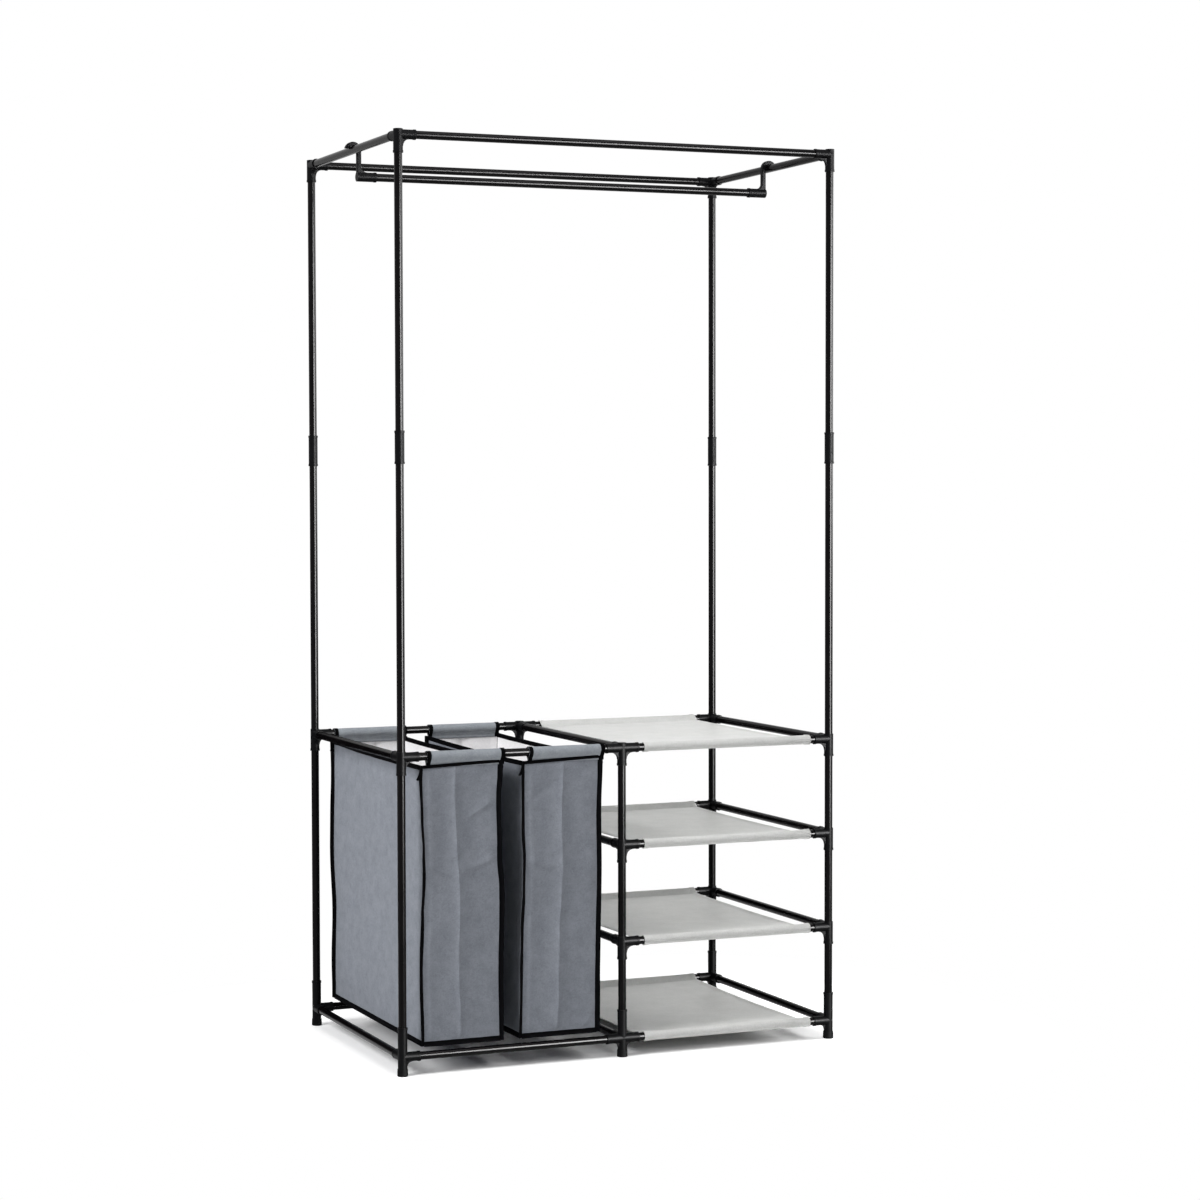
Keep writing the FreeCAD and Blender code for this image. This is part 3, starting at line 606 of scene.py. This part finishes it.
class LaundryBag:
    def __init__(self, name, body, seed):
        self.look = bagLook
        self.name, self.body, self.seed = name, body, seed
        self.hang = bagHang[name]
        self.creases = [(start, end, *(size * mm for size in sizes))
                        for start, end, *sizes in self.hang["creases"]]
        tapeLow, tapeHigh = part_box(name + "_binding")
        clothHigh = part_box(name)[1]
        railLow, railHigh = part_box("bag_rails")
        self.tube = (railHigh.z - railLow.z) / 2
        self.railLevel = railHigh.z - self.tube
        self.frontAxis, self.backAxis = railLow.y + self.tube, railHigh.y - self.tube
        fin, sleeveLength = bindingLook["fin"], sleeveLook["length"]
        self.lowX, self.highX = tapeLow.x + fin, tapeHigh.x - fin
        self.floor = tapeLow.z + fin
        self.rim = tapeHigh.z
        middle = (tapeLow.x + tapeHigh.x) / 2
        self.frontSleeve = (clothHigh.x - sleeveLength, clothHigh.x)
        self.backSleeve = (middle - sleeveLength / 2, middle + sleeveLength / 2)
        self.corners = [Vector((self.lowX, self.frontAxis, 0)), Vector((self.highX, self.frontAxis, 0)),
                        Vector((self.highX, self.backAxis, 0)), Vector((self.lowX, self.backAxis, 0))]
        # Front, right, back and left, each with its two corners and the way it faces
        self.panels = [(0, 1, forward), (1, 2, right), (2, 3, backward), (3, 0, left)]

    def cornerTop(self, corner):
        return self.rim - self.look["frontDrop"] * self.look["dropShares"][corner]

    def cornerPoint(self, corner, z):
        # The upright seams bend where the bag was folded, wander a little and follow the swing of the floor
        look = self.look
        height = min(1, max(0, (z - self.floor) / (self.rim - self.floor)))
        bend = 0
        knots = self.hang["seams"][corner]
        for (low, before), (high, after) in zip(knots, knots[1:]):
            if low <= height <= high:
                bend = (before + (after - before) * ease((height - low) / (high - low))) * mm
        loose = look["wobble"] * ease(height / look["wobbleFloor"]) * ease((1 - height) / look["wobbleTop"])
        seed = self.seed * 11 + corner
        wavesX, wavesY = look["wobbleWaves"]
        sideways = bend + self.hang["swing"] * (1 - height) + loose * wave(height * wavesX, seed)
        return self.corners[corner] + Vector((sideways, loose * wave(height * wavesY, seed + 40), z))

    def creaseRise(self, share, height, width, tall):
        # How far the pressed creases lift the cloth at one spot of a panel
        rise, fadeShare = 0, 0.2
        spot = Vector((share * width, height * tall))
        for start, end, stand, near, far in self.creases:
            first = Vector((start[0] * width, start[1] * tall))
            run = Vector((end[0] * width, end[1] * tall)) - first
            along = (spot - first).dot(run) / run.length_squared
            away = run.orthogonal().normalized().dot(spot - first)
            away *= 1 if abs(run.x) > abs(run.y) else -1
            fade = ease(along / fadeShare + 0.5) * ease((1 - along) / fadeShare + 0.5)
            rise += stand * fade * math.exp(-abs(away) / (far if away > 0 else near))
        return rise

    def swell(self, panel, share, height, width):
        # How far the cloth stands out from a flat panel
        look = self.look
        seed = self.seed * 13 + panel * 3
        tall = self.rim - self.floor
        toSide = min(share, 1 - share) * width
        toFloor, toTop = height * tall, (1 - height) * tall
        loose = 0 if panel % 2 == 0 else look["sideTopShare"]
        inner = ease(toSide / look["swellSide"]) * ease(toFloor / look["swellFloor"])
        inner *= loose + (1 - loose) * ease(toTop / look["swellTop"])
        # A little more hollow than full
        full = 1.2 * ripple(share * width / look["swellPitch"], height * 2.4, seed) - 0.25
        slow = look["fullness"] * inner * full
        pitch, reach, clear = look["puckerPitch"], look["puckerReach"], look["puckerClear"]
        small = look["pucker"] * wave(toFloor / pitch, seed + 1) * math.exp(-toSide / reach)
        small += look["pucker"] * wave(share * width / pitch, seed + 2) * math.exp(-toFloor / reach)
        small *= ease(toSide / clear) * ease(toFloor / clear)
        if panel % 2 == 0:
            clear, end = look["creaseClear"], look["creaseEnd"]
            held = ease(toSide / clear) * ease(toFloor / end) * ease(toTop / end)
            wander = look["wanderShare"] * wave(height * 4, seed + 5)
            slow += held * self.creaseRise(share + wander, height, width, tall)
        else:
            clear, end = look["foldClear"], look["foldEnd"]
            held = ease(toSide / clear) * ease(toFloor / end) * ease(toTop / end)
            away = abs(share - 0.5) * width
            wander = look["crossWanderShare"] * wave(share * 2, seed + 6)
            across = abs(height - look["crossShare"] - wander) * tall
            slow += held * look["sideFold"] * math.exp(-away / look["sideFoldReach"])
            slow -= held * look["crossFold"] * math.exp(-across / look["crossFoldReach"])
        return slow + small

    def wallPoint(self, panel, share, height):
        a, b, outwards = self.panels[panel]
        topA, topB = self.cornerTop(a), self.cornerTop(b)
        rim = topA + (topB - topA) * share
        if panel % 2:
            rim -= self.look["sideSag"] * 4 * share * (1 - share)
        z = self.floor + (rim - self.floor) * height
        start, end = self.cornerPoint(a, z), self.cornerPoint(b, z)
        point = start + (end - start) * share
        return point + outwards * self.swell(panel, share, height, (end - start).length)

    def shell(self):
        look = self.look
        cloth = Cloth()
        shares = {0: spread(look["frontColumns"], pull=0.1), 1: spread(look["sideColumns"])}
        heights = spread(look["rows"], pull=0.4)
        around = [(panel, share) for panel in range(4) for share in shares[panel % 2][:-1]]
        rows = [[self.wallPoint(panel, share, height) for panel, share in around] for height in heights]
        aroundCut = lengths(rows[0] + rows[0][:1])
        alongCut = [height * (self.rim - self.floor) for height in heights]
        cloth.addGrid(rows, aroundCut, alongCut, closed=True)
        # The floor is sewn to the lowest row all round
        wide, deep = look["frontColumns"], look["sideColumns"]
        found = {}
        for i in range(wide + 1):
            for j in range(deep + 1):
                if j == 0 and i < wide:
                    found[i, j] = i
                elif i == wide and j < deep:
                    found[i, j] = wide + j
                elif j == deep and i > 0:
                    found[i, j] = wide + deep + wide - i
                elif i == 0 and j > 0:
                    found[i, j] = 2 * wide + deep + deep - j
                else:
                    u, v = shares[0][i], shares[1][j]
                    x = self.lowX + (self.highX - self.lowX) * u + self.hang["swing"]
                    y = self.frontAxis + (self.backAxis - self.frontAxis) * v
                    hang = (16 * u * (1 - u) * v * (1 - v)) ** look["floorPower"]
                    pitch = look["floorPitch"]
                    rough = 1 + look["floorRough"] * ripple(x / pitch, y / pitch, self.seed + 60)
                    found[i, j] = len(cloth.points)
                    cloth.points.append(Vector((x, y, self.floor - look["floorSag"] * hang * rough)))
        for i in range(wide):
            for j in range(deep):
                corners = (found[i, j], found[i, j + 1], found[i + 1, j + 1], found[i + 1, j])
                cloth.addFace(corners, [cloth.points[k].xy for k in corners])
        return cloth.piece(self.name + "_shell", [bagCloth, bagLining], self.body,
                           look["cloth"])

    def sleevePoint(self, axis, outwards, step, x, seed):
        # One point of the loop round a rail. The outer tail has steps below 0, the loop from 0 to 1 and the
        # inner tail above 1.
        look = sleeveLook
        radius = self.tube + look["clear"]
        if step < 0 or step > 1:
            depth = -step if step < 0 else step - 1
            gap = self.look["cloth"] * look["tailShare"] * (1 if step < 0 else -1)
            return Vector((x, axis + outwards.y * gap, self.railLevel - look["hang"] - look["tail"] * depth))
        lean = math.acos(radius / look["hang"])
        start, end = -math.pi / 2 - lean, -math.pi / 2 + lean - 2 * math.pi
        turn = start + (end - start) * step
        reach = radius + look["loose"] * wave(x / look["loosePitch"], seed)
        sink = look["sink"] * (1 + wave(x / look["sinkPitch"], seed + 2)) * ease(-math.sin(turn))
        z = self.railLevel + reach * math.sin(turn) - sink
        return Vector((x, axis - outwards.y * reach * math.cos(turn), z))

    def sleeve(self, label, span, axis, outwards):
        look = sleeveLook
        seed = self.seed * 17 + (3 if label == "front" else 9)
        count = look["steps"]
        steps = [-1, -0.5, -0.05] + [i / count for i in range(count + 1)] + [1.05, 1.5, 2]
        cloth = Cloth()
        xs = [span[0] + (span[1] - span[0]) * share for share in spread(look["columns"], pull=0.6)]
        rows = [[self.sleevePoint(axis, outwards, step, x, seed) for x in xs] for step in steps]
        middle = [row[len(xs) // 2] for row in rows]
        cloth.addGrid(rows, xs, lengths(middle))
        loop = cloth.piece(f"{self.name}_{label}_sleeve", [sleeveClothPaintedLight], self.body,
                           self.look["cloth"])
        # Tape round both ends of the loop
        ends = Cloth()
        inset = look["endInset"]
        for start, toMiddle in ((span[0], 1), (span[1], -1)):
            x = start + toMiddle * inset
            path = [self.sleevePoint(axis, outwards, step, x, seed) for step in steps]
            tapeRun(ends, path, right * toMiddle, look["endTape"], inset, look["endThick"])
        edging = ends.piece(f"{self.name}_{label}_sleeve_ends", [tape], self.body)
        return loop, edging, lengths(middle)[-1]

    def binding(self):
        look = bindingLook
        strip = Cloth()
        fin, root, thick = look["fin"], look["finRoot"], look["finThick"]
        lean = math.radians(look["finLean"])
        sides = (-1, 1, 1, -1)  # left or right, at the four upright seams
        for corner, toSide in enumerate(sides):
            ahead = -1 if corner in (0, 1) else 1
            low, high = self.floor - fin, self.cornerTop(corner) + look["finAbove"]
            path, directions = [], []
            for i in range(look["finSteps"] + 1):
                z = low + (high - low) * i / look["finSteps"]
                tilt = lean + look["finTurn"] * wave(z / look["finTurnPitch"], self.seed * 19 + corner)
                path.append(self.cornerPoint(corner, z))
                directions.append(Vector((toSide * math.cos(tilt), ahead * math.sin(tilt), 0)))
            tapeRun(strip, path, directions, fin * look["finShares"][corner], root, thick)
        shares = [i / look["panelSteps"] for i in range(look["panelSteps"] + 1)]
        for panel, (_, _, outwards) in enumerate(self.panels):
            lowEdge = [self.wallPoint(panel, share, 0) for share in shares]
            topEdge = [self.wallPoint(panel, share, 1) for share in shares]
            tapeRun(strip, lowEdge, (down * 2 + outwards).normalized(), look["floorFin"], root, thick)
            if panel % 2:
                tapeRun(strip, topEdge, down, look["edgeTape"], look["edgeRise"], look["edgeThick"])
            else:
                seam = [point + outwards * look["frontAhead"] + up * look["frontRise"] for point in topEdge]
                tapeRun(strip, seam, down, look["frontTape"], 0, look["frontThick"])
        # Loose ends of tape at the tops of the upright seams
        half = look["endHalf"]
        for corner, (length, swing) in enumerate(look["looseEnds"]):
            toSide = sides[corner]
            start = self.cornerPoint(corner, self.cornerTop(corner) - look["endDown"])
            start += Vector((toSide * look["endOut"], -look["endAhead"], 0))
            hang = []  # swings out more and more on its way down
            for t in (0, 0.2, 0.4, 0.6, 0.8, 1):
                curl = look["endCurl"] * math.sin(3 * t)
                hang.append(start + Vector((toSide * swing * t ** 1.6, -curl, -length * t)))
            tapeRun(strip, hang, Vector((toSide, -0.35, 0)).normalized(), half, half, look["endThick"])
        return strip.piece(self.name + "_tape", [tape], self.body)

    def make(self):
        shell = self.shell()
        frontLoop = self.sleeve("front", self.frontSleeve, self.frontAxis, forward)
        backLoop = self.sleeve("back", self.backSleeve, self.backAxis, backward)
        edging = self.binding()
        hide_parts(self.name)
        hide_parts(self.name + "_binding")
        wide, deep = self.highX - self.lowX, self.backAxis - self.frontAxis
        tall = self.rim - self.floor
        panels = [round(side, 3) for side in (wide, deep, tall)]
        print(self.name, "panels", panels, "sleeve", round(frontLoop[2], 3))


LaundryBag("laundry_bag_left", "left_bag", 1).make()
LaundryBag("laundry_bag_right", "right_bag", 2).make()


# Studio: pale floor, white background, soft lamps

studioLook = {
    "floorSize": 24,
    "floorColour": "#fafafa",
    "footprint": (0.38, 0.19, 0),  # a little less than half the wardrobe's width and depth, in metres
    "liftReach": 0.12,             # from there to where the floor has its full lift
    "floorLift": 0.5,              # white added to the lit floor, so that only close shadows stay grey
    "clearReach": 0.55,            # from there to where the floor is plain white
    "ambient": 0.11,
    "ambientColour": "#fbfbff",
}


def eyeRays(tree):
    # One where the eye looks straight at a surface, through glass or at a reflection, and zero otherwise
    path = addNode(tree, "LightPath").outputs
    seen = path["Is Camera Ray"]
    for kind in ("Is Glossy Ray", "Is Transmission Ray"):
        seen = addNode(tree, "Math", {}, {0: seen, 1: path[kind]}, operation="MAXIMUM").outputs[0]
    return seen


def studioPlane(name, corners, material):
    mesh = bpy.data.meshes.new(name)
    mesh.from_pydata(corners, [], [(0, 1, 2, 3)])
    mesh.materials.append(material)
    plane = bpy.data.objects.new(name, mesh)
    scene.collection.objects.link(plane)
    return plane


def studioFloor(look):
    # Matt white painted floor: it keeps the soft shadow near the wardrobe and clears to the white background
    material, tree, surface = startMaterial("matt white floor")
    paint = linear(look["floorColour"])
    setValues(surface, {"Base Color": paint, "Roughness": 0.9, "Specular IOR Level": 0.1})
    place = addNode(tree, "TexCoord").outputs["Object"]
    size = addNode(tree, "VectorMath", {}, {0: place}, operation="ABSOLUTE")
    beyond = addNode(tree, "VectorMath", {1: look["footprint"]}, {0: size.outputs[0]},
                     operation="SUBTRACT")
    outside = addNode(tree, "VectorMath", {1: (0, 0, 0)}, {0: beyond.outputs[0]}, operation="MAXIMUM")
    away = addNode(tree, "VectorMath", {}, {0: outside.outputs[0]}, operation="LENGTH")
    away = away.outputs["Value"]
    clear = addNode(tree, "MapRange", {"From Min": look["liftReach"], "From Max": look["clearReach"]},
                    {"Value": away}, interpolation_type="SMOOTHSTEP")
    rise = addNode(tree, "MapRange", {"From Max": look["liftReach"], "To Max": look["floorLift"]},
                   {"Value": away}, interpolation_type="SMOOTHSTEP")
    seen = eyeRays(tree)
    lift = addNode(tree, "Math", {}, {0: rise.outputs[0], 1: seen}, operation="MULTIPLY")
    share = addNode(tree, "Math", {}, {0: clear.outputs[0], 1: seen}, operation="MULTIPLY")
    pale = addNode(tree, "Emission", {"Color": (1, 1, 1, 1)}, {"Strength": lift.outputs[0]})
    white = addNode(tree, "Emission", {"Color": (1, 1, 1, 1), "Strength": 1})
    near = addNode(tree, "AddShader", {}, {0: surface.outputs[0], 1: pale.outputs[0]})
    mixed = addNode(tree, "MixShader", {}, {0: share.outputs[0], 1: near.outputs[0], 2: white.outputs[0]})
    setLinks(tree, tree.nodes["Material Output"], {"Surface": mixed.outputs[0]})
    half = look["floorSize"] / 2
    corners = [(-half, -half, 0), (half, -half, 0), (half, half, 0), (-half, half, 0)]
    studioPlane("studio_floor", corners, material)


def studioWorld(look):
    # White to the eye and in reflections, and a plain soft light on everything else
    world = bpy.data.worlds.new("studio")
    world.use_nodes = True
    scene.world = world
    tree = world.node_tree
    soft = tree.nodes["Background"]
    setValues(soft, {"Color": linear(look["ambientColour"]), "Strength": look["ambient"]})
    white = addNode(tree, "Background", {"Color": (1, 1, 1, 1), "Strength": 1})
    mixed = addNode(tree, "MixShader", {}, {0: eyeRays(tree), 1: soft.outputs[0], 2: white.outputs[0]})
    setLinks(tree, tree.nodes["World Output"], {"Surface": mixed.outputs[0]})


# The cards stand for the bright edges of a studio: they show in gloss and leave matt surfaces alone. The
# wide lamp and the front soft one are behind cloth and show in no gloss. The spread is how wide a lamp's
# beam is, in degrees, and a lamp for the rigid nodes leaves the cloth alone.
lampLook = {
    "wide left": {"at": (-4.0, -1.05, 2.6), "to": (0, 0, 0.6), "size": (2.2, 2.2), "watts": 192,
                  "gloss": False},
    "top": {"at": (0.1, -1.3, 3.3), "to": (0, -0.2, 0.5), "size": (2.2, 1.2), "watts": 37},
    "front soft": {"at": (0.02, -0.72, 1.0), "to": (-0.2, -0.25, 0.56), "size": (0.6, 0.2), "watts": 0.8,
                   "gloss": False},
    "right fill": {"at": (3.0, 0.1, 1.5), "to": (0.2, 0, 0.3), "size": (1.2, 1.2), "watts": 72},
    "front card": {"at": (1.85, -3.7, 1.0), "to": (0, -0.25, 0.35), "size": (1.8, 2.0), "watts": 190,
                   "diffuse": False, "spread": 60, "rigidOnly": True},
    "right card": {"at": (2.9, -1.5, 1.7), "to": (0, 0, 1.4), "size": (1.6, 1.9), "watts": 130,
                   "diffuse": False},
}


def studioLamps():
    for name, look in lampLook.items():
        lamp = bpy.data.lights.new(name, "AREA")
        lamp.shape = "RECTANGLE"
        lamp.size, lamp.size_y = look["size"]
        lamp.energy = look["watts"]
        item = bpy.data.objects.new(name, lamp)
        item.location = look["at"]
        item.rotation_euler = (Vector(look["to"]) - item.location).to_track_quat("-Z", "Y").to_euler()
        lamp.spread = math.radians(look.get("spread", 180))
        item.visible_diffuse = look.get("diffuse", True)
        item.visible_glossy = look.get("gloss", True)
        if look.get("rigidOnly"):
            item.light_linking.receiver_collection = rigidNodes
        scene.collection.objects.link(item)


# A black velvet flag low behind the wardrobe: only gloss sees it, and it keeps the sides of the tubes that
# run from front to back dark
flagLook = {"from": (-1.5, 1.2, 0.0), "to": (0.4, 1.2, 0.95), "velvet": "#020202"}


def studioFlag(look):
    material, _, surface = startMaterial("black velvet")
    setValues(surface, {"Base Color": linear(look["velvet"]), "Roughness": 1, "Specular IOR Level": 0})
    (x0, y, z0), (x1, _, z1) = look["from"], look["to"]
    corners = [(x0, y, z0), (x1, y, z0), (x1, y, z1), (x0, y, z1)]
    flag = studioPlane("studio_flag", corners, material)
    for kind in ("camera", "diffuse", "transmission", "volume_scatter", "shadow"):
        setattr(flag, "visible_" + kind, False)


# Camera at the photograph's viewing angle: left of the middle, a little above half the wardrobe's height
cameraLook = {"at": (-2.0798, -4.7829, 1.0730), "azimuth": -21.617, "elevation": 2.47, "roll": -0.219,
              "lens": 80.3, "shift": 0.1}


def studioCamera(look):
    azimuth, elevation, roll = (math.radians(look[key]) for key in ("azimuth", "elevation", "roll"))
    behind = Vector((math.sin(azimuth) * math.cos(elevation), -math.cos(azimuth) * math.cos(elevation),
                     math.sin(elevation)))
    level = Vector((math.cos(azimuth), math.sin(azimuth), 0))
    upright = behind.cross(level)
    sideways = level * math.cos(roll) + upright * math.sin(roll)
    upright = behind.cross(sideways)
    data = bpy.data.cameras.new("camera")
    data.sensor_width = 36
    data.lens = look["lens"]
    data.shift_x = look["shift"]
    camera = bpy.data.objects.new("camera", data)
    turn = Matrix((sideways, upright, behind)).transposed().to_4x4()
    camera.matrix_world = Matrix.Translation(look["at"]) @ turn
    scene.collection.objects.link(camera)
    scene.camera = camera


studioFloor(studioLook)
studioWorld(studioLook)
studioLamps()
studioFlag(flagLook)
studioCamera(cameraLook)
scene.view_settings.view_transform = "Standard"
print("studio ready")

bpy.context.view_layer.update()
